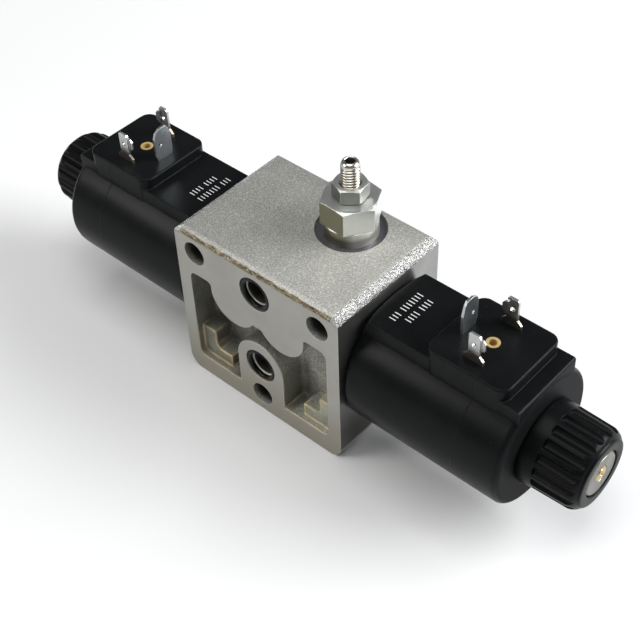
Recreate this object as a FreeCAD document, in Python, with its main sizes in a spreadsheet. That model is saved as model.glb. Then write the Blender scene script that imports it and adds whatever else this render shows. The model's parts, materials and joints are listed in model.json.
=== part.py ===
import FreeCAD, Part
import os
import math

# Solenoid directional valve, size 6, stackable section.
# Frame: origin at the centre of the body's underside, +X along the spool
# and both coils, -Y out of the sandwich face with the ports, +Z up.
# Millimetres and degrees.

os.makedirs("parts", exist_ok=True)
doc = FreeCAD.newDocument("solenoid_directional_valve")
V = FreeCAD.Vector

# ---------------------------------------------------------------- dimensions
DIMS = [
    # valve body
    ("body_length", 67.0), ("body_depth", 47.0), ("body_height", 62.0),
    ("body_top_round", 3.2), ("body_foot_round", 5.0), ("body_edge_round", 2.2),
    ("axis_height", 33.0), ("spool_bore", 7.0), ("end_bore", 11.0),
    ("end_bore_start", 19.0), ("gallery_ring", 8.0),
    ("tie_hole", 4.25), ("tie_x", 25.4), ("tie_top_z", 54.0), ("tie_low_z", 7.2),
    ("port_bore", 4.5), ("pump_ring", 5.2), ("port_seat", 6.2), ("port_seat_deep", 1.75),
    ("pump_z", 52.1), ("tank_z", 20.6), ("tank_neck", 3.2),
    ("oring_major", 5.3), ("oring_minor", 0.85),
    ("pocket_half", 28.6), ("pocket_low", 7.3), ("pocket_top", 45.2),
    ("pocket_deep", 9.5), ("lobe_x", 9.9), ("lobe_z", 42.8), ("lobe_round", 9.4),
    ("boss_half", 9.7), ("ledge_drop", 2.6),
    ("work_x", 17.0), ("work_bore", 6.0), ("work_deep", 12.0),
    ("tank_gallery_y", 13.5),
    # relief cartridge
    ("cart_x", 10.1), ("cart_y", 10.0), ("spot_radius", 11.35), ("spot_deep", 1.0),
    ("cart_thread", 8.0), ("cart_nose", 6.5), ("cart_hex", 17.0),
    ("cart_hex_low", 66.5), ("cart_hex_top", 74.9), ("cart_chamber", 4.0),
    ("screw_radius", 3.0), ("screw_top", 88.0), ("nut_hex", 10.0),
    ("nut_top", 80.1), ("seat_base", 66.0),
    # solenoids
    ("tube_radius", 9.5), ("tube_thread", 9.0), ("tube_inside", 7.5),
    ("tube_hex", 24.0), ("plug_face", 110.2), ("plug_radius", 7.3),
    ("armature_radius", 7.4), ("armature_start", 66.0), ("armature_end", 88.5),
    ("rod_radius", 1.5), ("pin_radius", 2.5),
    ("coil_radius", 22.5), ("coil_start", 33.9), ("coil_end", 90.2),
    ("saddle_half", 13.7), ("saddle_top", 56.0), ("saddle_start", 34.2),
    ("pad_centre", 70.8), ("pad_side", 28.0), ("pad_top", 59.9),
    ("pad_round", 3.6), ("heel_top", 55.5),
    ("cavity_radius", 19.3), ("cavity_start", 40.5), ("cavity_end", 87.0),
    ("insert_radius", 2.15), ("insert_length", 6.0),
    ("blade_thick", 0.8), ("blade_y", 9.0), ("blade_x", 70.7), ("blade_top", 70.2),
    ("ground_x", 62.1), ("ground_top", 71.7), ("ground_half", 3.15),
    ("nut_start", 90.3), ("nut_end", 110.4), ("knob_base", 13.9),
    ("knob_front", 13.25), ("flute_count", 18), ("flute_radius", 1.75),
    # spool
    ("spool_radius", 6.97), ("spool_shoulder", 22.0), ("nose_radius", 3.5),
    ("nose_end", 27.0), ("waist", 4.2), ("spring_seat_x", 33.0),
]
sheet = doc.addObject("Spreadsheet::Sheet", "dims")
for row, (alias, value) in enumerate(DIMS, 1):
    sheet.set("A%d" % row, alias)
    sheet.set("B%d" % row, "%g" % value)
    sheet.setAlias("B%d" % row, alias)
doc.recompute()


class Q:
    """A size: its number, and the sheet expression that drives it."""

    def __init__(self, v, s):
        self.v = float(v)
        self.s = s

    def __add__(self, o):
        o = q(o)
        return Q(self.v + o.v, "(%s + %s)" % (self.s, o.s))

    def __sub__(self, o):
        o = q(o)
        return Q(self.v - o.v, "(%s - %s)" % (self.s, o.s))

    def __mul__(self, o):
        o = q(o)
        return Q(self.v * o.v, "(%s * %s)" % (self.s, o.s))

    def __truediv__(self, o):
        o = q(o)
        return Q(self.v / o.v, "(%s / %s)" % (self.s, o.s))

    def __neg__(self):
        return Q(-self.v, "(0 - %s)" % self.s)

    def __radd__(self, o):
        return q(o) + self

    def __rsub__(self, o):
        return q(o) - self

    def __rmul__(self, o):
        return q(o) * self


def q(x):
    return x if isinstance(x, Q) else Q(x, "%g" % x if x >= 0 else "(%g)" % x)


class D:
    pass


d = D()
for alias, value in DIMS:
    setattr(d, alias, Q(value, "dims." + alias))

NODES = []


def bind(obj, prop, size):
    obj.setExpression(prop, q(size).s)


def new_body(label, at=(0, 0, 0), turn=0.0, axis=(0, 0, 1)):
    b = doc.addObject("PartDesign::Body", "b_" + label)
    b.Label = label
    b.Placement = FreeCAD.Placement(V(*at), FreeCAD.Rotation(V(*axis), turn))
    NODES.append(b)
    return b


def plane_of(body, role):
    return [f for f in body.Origin.OriginFeatures if f.Role == role][0]


def sketch(body, name, plane, offset=None):
    s = body.newObject("Sketcher::SketchObject", name + "_" + body.Label)
    s.AttachmentSupport = [(plane_of(body, plane), "")]
    s.MapMode = "FlatFace"
    if offset is not None:
        s.AttachmentOffset = FreeCAD.Placement(V(0, 0, q(offset).v), FreeCAD.Rotation())
        s.setExpression("AttachmentOffset.Base.z", q(offset).s)
    return s


def at_point(s, geo, pos, x, y):
    """Fix one sketch point by two distances bound to the sheet."""
    import Sketcher
    for kind, size, ax in (("DistanceX", q(x), -2), ("DistanceY", q(y), -1)):
        if abs(size.v) < 1e-9:
            s.addConstraint(Sketcher.Constraint("PointOnObject", geo, pos, ax))
        else:
            n = s.addConstraint(Sketcher.Constraint(kind, -1, 1, geo, pos, size.v))
            s.setExpression("Constraints[%d]" % n, size.s)


def polygon(s, pts):
    import Sketcher
    pts = [(q(a), q(b)) for a, b in pts]
    first = s.GeometryCount
    n = len(pts)
    for i in range(n):
        a, b = pts[i], pts[(i + 1) % n]
        s.addGeometry(Part.LineSegment(V(a[0].v, a[1].v, 0), V(b[0].v, b[1].v, 0)), False)
    for i in range(n):
        s.addConstraint(Sketcher.Constraint("Coincident", first + i, 2, first + (i + 1) % n, 1))
    for i in range(n):
        at_point(s, first + i, 1, pts[i][0], pts[i][1])


def rect(s, x0, y0, x1, y1):
    polygon(s, [(x0, y0), (x1, y0), (x1, y1), (x0, y1)])


def circle(s, x, y, radius):
    import Sketcher
    radius = q(radius)
    g = s.addGeometry(Part.Circle(V(q(x).v, q(y).v, 0), V(0, 0, 1), radius.v), False)
    n = s.addConstraint(Sketcher.Constraint("Radius", g, radius.v))
    s.setExpression("Constraints[%d]" % n, radius.s)
    at_point(s, g, 3, x, y)


def hexagon(s, x, y, flats, turn):
    """Regular hexagon by its width across flats."""
    pts = []
    r = q(flats) / 2.0 / math.cos(math.pi / 6)
    for k in range(6):
        a = math.radians(turn + 60 * k)
        pts.append((q(x) + r * round(math.cos(a), 9), q(y) + r * round(math.sin(a), 9)))
    polygon(s, pts)


def volume(body):
    doc.recompute()
    return body.Shape.Volume if body.Shape and not body.Shape.isNull() else 0.0


def feature(body, kind, s, name, length=None, mid=False, rev=False, axis=None, through=False):
    f = body.newObject("PartDesign::" + kind, name + "_" + body.Label)
    f.Profile = s
    if kind in ("Pad", "Pocket"):
        if through:
            f.Type = "ThroughAll" if kind == "Pocket" else "Length"
        if length is not None:
            f.Length = q(length).v
            f.setExpression("Length", q(length).s)
        f.Midplane = mid
        f.Reversed = rev
    else:
        f.ReferenceAxis = (s, [axis])
        f.Angle = 360.0
    body.Tip = f
    return f


def cut(body, *a, **k):
    """A pocket or groove that must remove material."""
    before = volume(body)
    f = feature(body, *a, **k)
    after = volume(body)
    if not after < before - 1e-3:
        raise RuntimeError("%s cut nothing (%.3f to %.3f)" % (f.Name, before, after))
    return f


def grow(body, *a, **k):
    before = volume(body)
    f = feature(body, *a, **k)
    after = volume(body)
    if not after > before + 1e-3:
        raise RuntimeError("%s added nothing (%.3f to %.3f)" % (f.Name, before, after))
    return f


def edges_where(body, test):
    """Names of the tip's edges that pass a test on the edge, body-local."""
    doc.recompute()
    out = []
    for i, e in enumerate(body.Tip.Shape.Edges, 1):
        if test(e):
            out.append("Edge%d" % i)
    return out


def dress(body, kind, names, size, name):
    base = body.Tip
    f = body.newObject("PartDesign::" + kind, name + "_" + body.Label)
    f.Base = (base, names)
    prop = "Radius" if kind == "Fillet" else "Size"
    setattr(f, prop, q(size).v)
    f.setExpression(prop, q(size).s)
    body.Tip = f
    doc.recompute()
    if f.Shape.isNull() or not f.Shape.isValid():
        raise RuntimeError(f.Name + " failed")
    return f


def ends(e):
    return [v.Point for v in e.Vertexes]


def mid(e):
    return e.valueAt((e.FirstParameter + e.LastParameter) / 2.0)


def turned_x(label, pts, turn=0.0, z=None):
    """A piece turned about X: pts are (x, radius)."""
    b = new_body(label, (0, 0, (z or d.axis_height).v), turn)
    b.setExpression("Placement.Base.z", (z or d.axis_height).s)
    s = sketch(b, "profile", "XZ_Plane")
    polygon(s, pts)
    feature(b, "Revolution", s, "turn", axis="H_Axis")
    return b


def turned_z(label, pts):
    """A piece turned about the cartridge's axis: pts are (radius, z)."""
    b = new_body(label, (d.cart_x.v, d.cart_y.v, 0))
    b.setExpression("Placement.Base.x", d.cart_x.s)
    b.setExpression("Placement.Base.y", d.cart_y.s)
    s = sketch(b, "profile", "XZ_Plane")
    polygon(s, pts)
    feature(b, "Revolution", s, "turn", axis="V_Axis")
    return b


# ---------------------------------------------------------------- valve body
vb = new_body("valve_body")
s = sketch(vb, "outline", "XZ_Plane")
hl = d.body_length / 2
rect(s, -hl, 0, hl, d.body_height)
feature(vb, "Pad", s, "block", d.body_depth, mid=True)
hd = d.body_depth / 2
names = edges_where(vb, lambda e: all(abs(abs(p.x) - hl.v) < 1e-3 and p.z > 60 for p in ends(e)) and abs(ends(e)[0].y - ends(e)[1].y) > 1)
dress(vb, "Fillet", names, d.body_top_round, "top_corners")
names = edges_where(vb, lambda e: all(abs(abs(p.x) - hl.v) < 1e-3 and p.z < 1 for p in ends(e)) and abs(ends(e)[0].y - ends(e)[1].y) > 1)
dress(vb, "Fillet", names, d.body_foot_round, "foot_corners")
# The long top edges are rounded straight through; the upright edges stay crisp.
for tag, sy in (("front", -1), ("back", 1)):
    s = sketch(vb, "brow_" + tag, "YZ_Plane")
    er, bt = d.body_edge_round, d.body_height
    y0, y1, yc = sy * (hd + 1), sy * hd, sy * (hd - er)
    import Sketcher
    a0, a1 = (math.pi / 2, math.pi) if sy < 0 else (0.0, math.pi / 2)
    circ = Part.Circle(V(yc.v, (bt - er).v, 0), V(0, 0, 1), er.v)
    g = s.addGeometry(Part.ArcOfCircle(circ, a0, a1), False)
    loop = [(y1, bt - er), (y0, bt - er), (y0, bt + 1), (yc, bt + 1), (yc, bt)]
    for i in range(4):
        s.addGeometry(Part.LineSegment(V(loop[i][0].v, loop[i][1].v, 0), V(loop[i + 1][0].v, loop[i + 1][1].v, 0)), False)
    foot, crown = (2, 1) if sy < 0 else (1, 2)
    s.addConstraint(Sketcher.Constraint("Coincident", g, foot, g + 1, 1))
    for i in range(1, 4):
        s.addConstraint(Sketcher.Constraint("Coincident", g + i, 2, g + i + 1, 1))
    s.addConstraint(Sketcher.Constraint("Coincident", g + 4, 2, g, crown))
    for i in range(4):
        at_point(s, g + 1 + i, 1, loop[i][0], loop[i][1])
    at_point(s, g + 4, 2, loop[4][0], loop[4][1])
    n = s.addConstraint(Sketcher.Constraint("Radius", g, er.v))
    s.setExpression("Constraints[%d]" % n, er.s)
    cut(vb, "Pocket", s, "brow_cut_" + tag, d.body_length + 2, mid=True)

# Cored recess in the sandwich face, then its lands put back.
s = sketch(vb, "recess", "XZ_Plane", hd - d.pocket_deep)
rect(s, -d.pocket_half, d.pocket_low, d.pocket_half, d.pocket_top)
cut(vb, "Pocket", s, "recess_cut", d.pocket_deep + 1, rev=True)
floor_y = -(hd - d.pocket_deep).v
names = edges_where(vb, lambda e: len(ends(e)) == 2 and abs(abs(ends(e)[0].x) - d.pocket_half.v) < 1e-3 and abs(abs(ends(e)[1].x) - d.pocket_half.v) < 1e-3
                    and abs(ends(e)[0].z - ends(e)[1].z) < 1e-6 and abs(ends(e)[0].y - ends(e)[1].y) > 5 and 5 < ends(e)[0].z < 50)
dress(vb, "Fillet", names, 2.8, "recess_corners")
for tag, sx in (("right", 1), ("left", -1)):
    s = sketch(vb, "lobe_" + tag, "XZ_Plane", hd - d.pocket_deep)
    circle(s, sx * d.lobe_x, d.lobe_z, d.lobe_round)
    grow(vb, "Pad", s, "lobe_pad_" + tag, d.pocket_deep)
s = sketch(vb, "lobe_web", "XZ_Plane", hd - d.pocket_deep)
rect(s, -2.6, d.lobe_z - 5.0, 2.6, d.pocket_top)
grow(vb, "Pad", s, "lobe_web_pad", d.pocket_deep)
s = sketch(vb, "boss", "XZ_Plane", hd - d.pocket_deep)
rect(s, -d.boss_half, d.pocket_low - 1, d.boss_half, d.tank_z)
grow(vb, "Pad", s, "boss_pad", d.pocket_deep)
s = sketch(vb, "boss_round", "XZ_Plane", hd - d.pocket_deep)
circle(s, 0, d.tank_z, d.boss_half)
grow(vb, "Pad", s, "boss_round_pad", d.pocket_deep)
# Cast roundings: where the lobes leave the upper land, and all round the floor.
names = edges_where(vb, lambda e: len(ends(e)) == 2 and abs(ends(e)[0].x - ends(e)[1].x) < 1e-6 and abs(ends(e)[0].z - ends(e)[1].z) < 1e-6
                    and abs(ends(e)[0].y - ends(e)[1].y) > 5 and abs(ends(e)[0].z - d.pocket_top.v) < 0.01 and 17 < abs(ends(e)[0].x) < 22)
print("lobe corners", len(names))
dress(vb, "Fillet", names, 1.6, "lobe_corners")
names = edges_where(vb, lambda e: len(ends(e)) == 2 and all(abs(p.y - floor_y) < 1e-4 for p in ends(e)) and abs(mid(e).y - floor_y) < 1e-4)
print("floor edges", len(names))
dress(vb, "Fillet", names, 1.5, "floor_round")
for tag, sx in (("right", 1), ("left", -1)):
    s = sketch(vb, "ledge_" + tag, "XZ_Plane", hd - d.pocket_deep)
    pts = [(d.pocket_half + 0.5, d.pocket_low - 0.5), (d.pocket_half + 0.5, 19.0), (22.8, 19.0),
           (22.8, 13.4), (21.2, 11.8), (16.0, 11.8), (16.0, d.pocket_low - 0.5)]
    polygon(s, [(sx * q(a), q(b)) for a, b in pts])
    grow(vb, "Pad", s, "ledge_pad_" + tag, d.pocket_deep - d.ledge_drop)

# Tie-rod holes and the two through galleries with their O-ring seats.
s = sketch(vb, "tie_holes", "XZ_Plane", hd)
circle(s, d.tie_x, d.tie_top_z, d.tie_hole)
circle(s, -d.tie_x, d.tie_top_z, d.tie_hole)
circle(s, 0, d.tie_low_z, d.tie_hole)
circle(s, 0, d.pump_z, d.port_bore)
cut(vb, "Pocket", s, "tie_holes_cut", d.body_depth + 1)
s = sketch(vb, "pump_ring", "XZ_Plane", 3.6)
circle(s, 0, d.pump_z, d.pump_ring)
cut(vb, "Pocket", s, "pump_ring_cut", 6.8)
s = sketch(vb, "tank_neck", "XZ_Plane", hd)
circle(s, 0, d.tank_z, d.tank_neck)
cut(vb, "Pocket", s, "tank_neck_cut", d.body_depth + 1)
s = sketch(vb, "tank_front", "XZ_Plane", hd)
circle(s, 0, d.tank_z, d.port_bore)
cut(vb, "Pocket", s, "tank_front_cut", 12.0)
s = sketch(vb, "tank_back", "XZ_Plane", -hd)
circle(s, 0, d.tank_z, d.port_bore)
cut(vb, "Pocket", s, "tank_back_cut", 12.0, rev=True)
s = sketch(vb, "port_seats", "XZ_Plane", hd)
circle(s, 0, d.pump_z, d.port_seat)
circle(s, 0, d.tank_z, d.port_seat)
cut(vb, "Pocket", s, "port_seats_cut", d.port_seat_deep)

# Spool bore with its rings, and the solenoid sockets at both ends.
s = sketch(vb, "spool_way", "XZ_Plane")
ah, sb, gr, eb, es = d.axis_height, d.spool_bore, d.gallery_ring, d.end_bore, d.end_bore_start
side = [(3.0, gr), (3.0, sb), (7.0, sb), (7.0, gr), (11.0, gr), (11.0, sb), (14.5, sb),
        (14.5, gr), (17.5, gr), (17.5, sb), (es, sb), (es, eb), (hl + 1, eb)]
pts = [(q(x), ah + r) for x, r in side]
pts = [(-x, r) for x, r in reversed(pts)] + pts
pts = [(-(hl + 1), ah)] + pts + [(hl + 1, ah)]
polygon(s, pts)
ax = s.addGeometry(Part.LineSegment(V(-10, ah.v, 0), V(10, ah.v, 0)), True)
import Sketcher
s.addConstraint(Sketcher.Constraint("Horizontal", ax))
at_point(s, ax, 1, -10.0, ah)
n = s.addConstraint(Sketcher.Constraint("DistanceX", ax, 1, ax, 2, 20.0))
cut(vb, "Groove", s, "spool_way_cut", axis="Axis0")

# Relief cartridge cavity in the top face.
s = sketch(vb, "cavity", "XZ_Plane", -d.cart_y)
top = d.body_height
cx = d.cart_x
pts = [(cx, 42.0), (cx + 5.0, 42.0), (cx + d.cart_nose, 43.5), (cx + d.cart_nose, 53.0), (cx + d.cart_thread, 53.0),
       (cx + d.cart_thread, top - d.spot_deep), (cx + d.spot_radius, top - d.spot_deep), (cx + d.spot_radius, top + 1), (cx, top + 1)]
polygon(s, pts)
ax = s.addGeometry(Part.LineSegment(V(cx.v, 45, 0), V(cx.v, 55, 0)), True)
s.addConstraint(Sketcher.Constraint("Vertical", ax))
at_point(s, ax, 1, cx, 45.0)
n = s.addConstraint(Sketcher.Constraint("DistanceY", ax, 1, ax, 2, 10.0))
cut(vb, "Groove", s, "cavity_cut", axis="Axis0")

# Drillings: pump feed, work ports, tank cross gallery and relief return.
s = sketch(vb, "pump_feed", "XY_Plane", d.pump_z)
circle(s, 0, 0, 3.0)
cut(vb, "Pocket", s, "pump_feed_cut", 14.0)
s = sketch(vb, "work_ports", "XY_Plane", 0)
circle(s, d.work_x, 0, d.work_bore)
circle(s, -d.work_x, 0, d.work_bore)
cut(vb, "Pocket", s, "work_ports_cut", d.work_deep, rev=True)
s = sketch(vb, "relief_return", "XY_Plane", 42.5)
circle(s, d.cart_x, d.tank_gallery_y, 2.0)
cut(vb, "Pocket", s, "relief_return_cut", 42.5 - d.tank_z)
s = sketch(vb, "tank_cross", "YZ_Plane", -18.0)
circle(s, d.tank_gallery_y, d.tank_z, 3.0)
cut(vb, "Pocket", s, "tank_cross_cut", 36.0, rev=True)
for tag, sx in (("right", 1), ("left", -1)):
    # slanted passage from each work port up to its ring, cut as a turned pin
    s = sketch(vb, "work_way_" + tag, "XZ_Plane")
    x0, z0, x1, z1, w = sx * 17.0, 10.5, sx * 9.4, 26.0, 2.3
    L = math.hypot(x1 - x0, z1 - z0)
    ux, uz = (x1 - x0) / L, (z1 - z0) / L
    px, pz = -uz, ux
    polygon(s, [(x0, z0), (x1, z1), (x1 + w * px, z1 + w * pz), (x0 + w * px, z0 + w * pz)])
    ax = s.addGeometry(Part.LineSegment(V(x0, z0, 0), V(x1, z1, 0)), True)
    s.addConstraint(Sketcher.Constraint("Coincident", ax, 1, 0, 1))
    s.addConstraint(Sketcher.Constraint("Coincident", ax, 2, 1, 1))
    cut(vb, "Groove", s, "work_way_cut_" + tag, axis="Axis0")
    # tank drilling from the cross gallery to the outer ring
    s = sketch(vb, "tank_way_" + tag, "YZ_Plane", sx * 16.0)
    y0, z0, y1, z1, w = 13.5, 20.6, 5.0, 28.4, 1.4
    L = math.hypot(y1 - y0, z1 - z0)
    uy, uz = (y1 - y0) / L, (z1 - z0) / L
    py, pz = -uz, uy
    polygon(s, [(y0, z0), (y1, z1), (y1 + w * py, z1 + w * pz), (y0 + w * py, z0 + w * pz)])
    ax = s.addGeometry(Part.LineSegment(V(y0, z0, 0), V(y1, z1, 0)), True)
    s.addConstraint(Sketcher.Constraint("Coincident", ax, 1, 0, 1))
    s.addConstraint(Sketcher.Constraint("Coincident", ax, 2, 1, 1))
    cut(vb, "Groove", s, "tank_way_cut_" + tag, axis="Axis0")


# ---------------------------------------------------------------- port O-rings
def ring(name, major, minor, at, axis):
    """An O-ring as a torus bound to the sheet."""
    t = doc.addObject("Part::Torus", name)
    t.Radius1 = q(major).v
    t.Radius2 = q(minor).v
    bind(t, "Radius1", major)
    bind(t, "Radius2", minor)
    t.Placement = FreeCAD.Placement(V(*[q(c).v for c in at]), FreeCAD.Rotation(V(0, 0, 1), V(*axis)))
    for c, k in zip(at, "xyz"):
        bind(t, "Placement.Base." + k, c)
    return t


def group(label, shapes):
    g = doc.addObject("Part::Compound", "c_" + label)
    g.Label = label
    g.Links = shapes
    NODES.append(g)
    return g


oy = -hd + d.port_seat_deep - d.oring_minor
group("port_o_rings", [
    ring("pump_o_ring", d.oring_major, d.oring_minor, (0, oy, d.pump_z), (0, 1, 0)),
    ring("tank_o_ring", d.oring_major, d.oring_minor, (0, oy, d.tank_z), (0, 1, 0))])

# ---------------------------------------------------------------- spool
sr, nr, wa = d.spool_radius, d.nose_radius, d.waist
half = [(6.0, wa), (6.0, sr), (12.0, sr), (12.0, wa), (17.8, wa), (17.8, sr),
        (d.spool_shoulder, sr), (d.spool_shoulder, nr), (d.nose_end - 0.4, nr), (d.nose_end, nr - 0.4)]
pts = [(q(x), q(r)) for x, r in half]
pts = [(-x, r) for x, r in reversed(pts)] + pts
pts = [(-d.nose_end, 0)] + pts + [(d.nose_end, 0)]
turned_x("spool", pts)


def helix(label, x0, x1, mean, wire, turns, origin, direction, turn_z=0.0):
    """Coil spring: a round wire swept along a helix, sizes read from the sheet."""
    r = mean.v if isinstance(mean, Q) else mean
    length = (x1 - x0) - 2 * wire - 0.02
    h = Part.makeHelix(length / turns, length, r)
    c = Part.Circle(V(r, 0, 0), V(0, 1, 0), wire)
    w = Part.Wire([c.toShape()])
    sweep = Part.Wire(h.Edges).makePipeShell([w], True, True)
    f = doc.addObject("Part::Feature", "f_" + label)
    f.Label = label
    shape = sweep if sweep.ShapeType == "Solid" else Part.Solid(sweep)
    if shape.Volume < 0:
        shape = shape.reversed()
    f.Shape = shape
    a = x0 + wire + 0.01
    base = V(*origin) + V(*direction) * a
    f.Placement = FreeCAD.Placement(base, FreeCAD.Rotation(V(0, 0, 1), V(*direction)))
    NODES.append(f)
    return f


# ---------------------------------------------------------------- solenoids
BLADE_EMBED = 4.5
for side, turn, sx in (("right", 0.0, 1.0), ("left", 180.0, -1.0)):
    def N(name):
        return name + "_" + side

    tr, tt, ti = d.tube_radius, d.tube_thread, d.tube_inside
    # Pressure tube: screwed socket, hexagon, sleeve, end thread.
    b = turned_x(N("solenoid_tube"), [
        (24.0, 9.2), (24.0, d.end_bore - 0.1), (29.6, d.end_bore - 0.1), (29.6, 9.45 + 0.25), (31.8, 9.7),
        (31.8, d.end_bore - 0.1), (33.5, d.end_bore - 0.1), (33.5, 11.6), (38.0, 11.6), (38.0, tr),
        (90.1, tr), (90.1, tt), (103.4, tt), (104.0, tt - 0.6), (104.0, ti), (d.spring_seat_x, ti), (d.spring_seat_x, 9.2)], turn)
    s = sketch(b, "hexagon", "YZ_Plane", 33.5)
    hexagon(s, 0, 0, d.tube_hex, 30)
    circle(s, 0, 0, 11.0)
    grow(b, "Pad", s, "hexagon_pad", 4.5)
    rt = ring("socket_ring_" + side, 10.33, 0.6, (sx * 30.7, 0, d.axis_height), (1, 0, 0))
    rt.Label = N("tube_o_ring")
    NODES.append(rt)
    # Pole piece, bored for the push rod, coned at the working gap.
    turned_x(N("pole_piece"), [(d.spring_seat_x, d.rod_radius + 0.05), (d.spring_seat_x, ti - 0.03), (62.0, ti - 0.03),
                               (62.0, 6.2), (60.0, 5.0), (60.0, d.rod_radius + 0.05)], turn)
    # Plug closing the tube, with the bore and the seal groove of the override pin.
    b = turned_x(N("tube_end_plug"), [
        (95.0, d.pin_radius + 0.05), (95.0, ti - 0.03), (104.0, ti - 0.03), (104.0, d.plug_radius), (d.plug_face - 0.4, d.plug_radius),
        (d.plug_face, d.plug_radius - 0.4), (d.plug_face, d.pin_radius + 0.45), (d.plug_face - 0.4, d.pin_radius + 0.05),
        (101.4, d.pin_radius + 0.05), (101.4, 4.2), (99.2, 4.2), (99.2, d.pin_radius + 0.05)], turn)
    rt = ring("pin_ring_" + side, 3.42, 0.76, (sx * 100.3, 0, d.axis_height), (1, 0, 0))
    rt.Label = N("pin_o_ring")
    NODES.append(rt)
    # Armature with two oil holes, push rod and override pin.
    b = turned_x(N("armature"), [
        (d.armature_start, d.rod_radius + 0.02), (d.armature_start, 4.6), (d.armature_start + 2.0, 5.8), (d.armature_start + 2.0, d.armature_radius),
        (d.armature_end - 0.5, d.armature_radius), (d.armature_end, d.armature_radius - 0.5), (d.armature_end, 0),
        (d.armature_start + 6.0, 0), (d.armature_start + 6.0, d.rod_radius + 0.02)], turn)
    s = sketch(b, "oil_holes", "YZ_Plane", d.armature_start - 1)
    circle(s, 4.0, 0, 0.9)
    circle(s, -4.0, 0, 0.9)
    cut(b, "Pocket", s, "oil_holes_cut", d.armature_end - d.armature_start + 2, rev=True)
    turned_x(N("push_rod"), [(d.nose_end + 0.05, 0), (d.nose_end + 0.05, d.rod_radius - 0.3), (d.nose_end + 0.35, d.rod_radius),
                             (d.armature_start + 5.9, d.rod_radius), (d.armature_start + 5.9, 0)], turn)
    turned_x(N("override_pin"), [
        (d.armature_end + 0.05, 0), (d.armature_end + 0.05, 3.6), (90.4, 3.6), (90.4, d.pin_radius), (d.plug_face - 0.2, d.pin_radius),
        (d.plug_face + 0.12, d.pin_radius - 0.35), (d.plug_face + 0.12, 0.65), (d.plug_face - 0.6, 0.3), (d.plug_face - 0.6, 0)], turn)
    # Centring spring and the washer it pushes on.
    turned_x(N("spring_washer"), [(d.spool_shoulder, nr + 0.03), (d.spool_shoulder, 8.8), (d.spool_shoulder + 1.2, 8.8), (d.spool_shoulder + 1.2, nr + 0.03)], turn)
    helix(N("centring_spring"), 23.2, 33.0, 5.4, 0.6, 4.5, (0, 0, d.axis_height.v), (sx, 0, 0))

    # Coil: moulded housing over the yoke, the bobbin and the winding.
    b = turned_x(N("coil_housing"), [
        (d.coil_start, 14.5), (d.coil_start, d.coil_radius), (d.coil_end, d.coil_radius), (d.coil_end, tr + 0.2),
        (d.cavity_end, tr + 0.2), (d.cavity_end, d.cavity_radius), (d.cavity_start, d.cavity_radius), (d.cavity_start, tr + 0.2),
        (38.5, tr + 0.2), (38.5, 14.5)], turn)
    cr = d.coil_radius.v
    rim = edges_where(b, lambda e: e.Curve.TypeId == "Part::GeomCircle" and abs(e.Curve.Radius - cr) < 1e-3)
    dress(b, "Fillet", rim, 2.0, "rims")
    s = sketch(b, "saddle", "XY_Plane", 0)
    rect(s, d.saddle_start, -d.saddle_half, d.coil_end - 0.3, d.saddle_half)
    grow(b, "Pad", s, "saddle_pad", d.heel_top - d.axis_height)
    s = sketch(b, "deck", "XY_Plane", 12.0)
    pc, ps = d.pad_centre, d.pad_side / 2
    rect(s, d.saddle_start, -d.saddle_half, pc + ps, d.saddle_half)
    grow(b, "Pad", s, "deck_pad", d.saddle_top - d.axis_height - 12.0)
    s = sketch(b, "plinth", "XY_Plane", 12.0)
    rect(s, pc - ps, -ps, pc + ps, ps)
    grow(b, "Pad", s, "plinth_pad", d.pad_top - d.axis_height - 12.0)
    pcv, psv = pc.v, ps.v
    corner = edges_where(b, lambda e: abs(abs(ends(e)[0].y) - psv) < 1e-3 and abs(abs(ends(e)[0].x - pcv) - psv) < 1e-3
                         and len(ends(e)) == 2 and abs(ends(e)[0].x - ends(e)[1].x) < 1e-6 and abs(ends(e)[0].y - ends(e)[1].y) < 1e-6
                         and max(p.z for p in ends(e)) > 26.0)
    dress(b, "Fillet", corner, d.pad_round, "plinth_corners")
    zt = (d.pad_top - d.axis_height).v
    rim = edges_where(b, lambda e: all(abs(p.z - zt) < 1e-3 for p in ends(e)))
    dress(b, "Fillet", rim, 0.6, "plinth_rim")
    edge = edges_where(b, lambda e: all(abs(p.x - (d.coil_end.v - 0.3)) < 1e-3 and abs(p.z - (d.heel_top - d.axis_height).v) < 1e-3 for p in ends(e)) and len(ends(e)) == 2)
    dress(b, "Fillet", edge, 0.8, "heel_edge")
    long_edges = edges_where(b, lambda e: len(ends(e)) == 2 and all(abs(abs(p.y) - d.saddle_half.v) < 1e-3 and abs(p.z - (d.saddle_top - d.axis_height).v) < 1e-3 for p in ends(e)) and abs(ends(e)[0].x - ends(e)[1].x) > 5)
    dress(b, "Fillet", long_edges, 0.5, "deck_edges")
    # The inner end is turned round the axis, so it cuts the flat in an arc.
    s = sketch(b, "turned_end", "XZ_Plane")
    polygon(s, [(33.0, 20.4), (33.95, 20.7), (34.3, 21.8), (34.8, 23.0), (35.5, 25.1), (36.9, 27.2), (38.5, 28.8), (38.5, 32.0), (33.0, 32.0)])
    cut(b, "Groove", s, "turned_end_cut", axis="H_Axis")
    s = sketch(b, "hollow", "XZ_Plane")
    polygon(s, [(d.cavity_start, tr + 0.2), (d.cavity_start, d.cavity_radius), (d.cavity_end, d.cavity_radius), (d.cavity_end, tr + 0.2)])
    cut(b, "Groove", s, "hollow_cut", axis="H_Axis")
    s = sketch(b, "sleeve_way", "YZ_Plane", d.coil_start - 1)
    circle(s, 0, 0, tr + 0.2)
    cut(b, "Pocket", s, "sleeve_way_cut", 80.0, rev=True)
    s = sketch(b, "hex_way", "YZ_Plane", d.coil_start - 1)
    circle(s, 0, 0, 14.5)
    cut(b, "Pocket", s, "hex_way_cut", 38.5 - d.coil_start + 1, rev=True)
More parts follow.
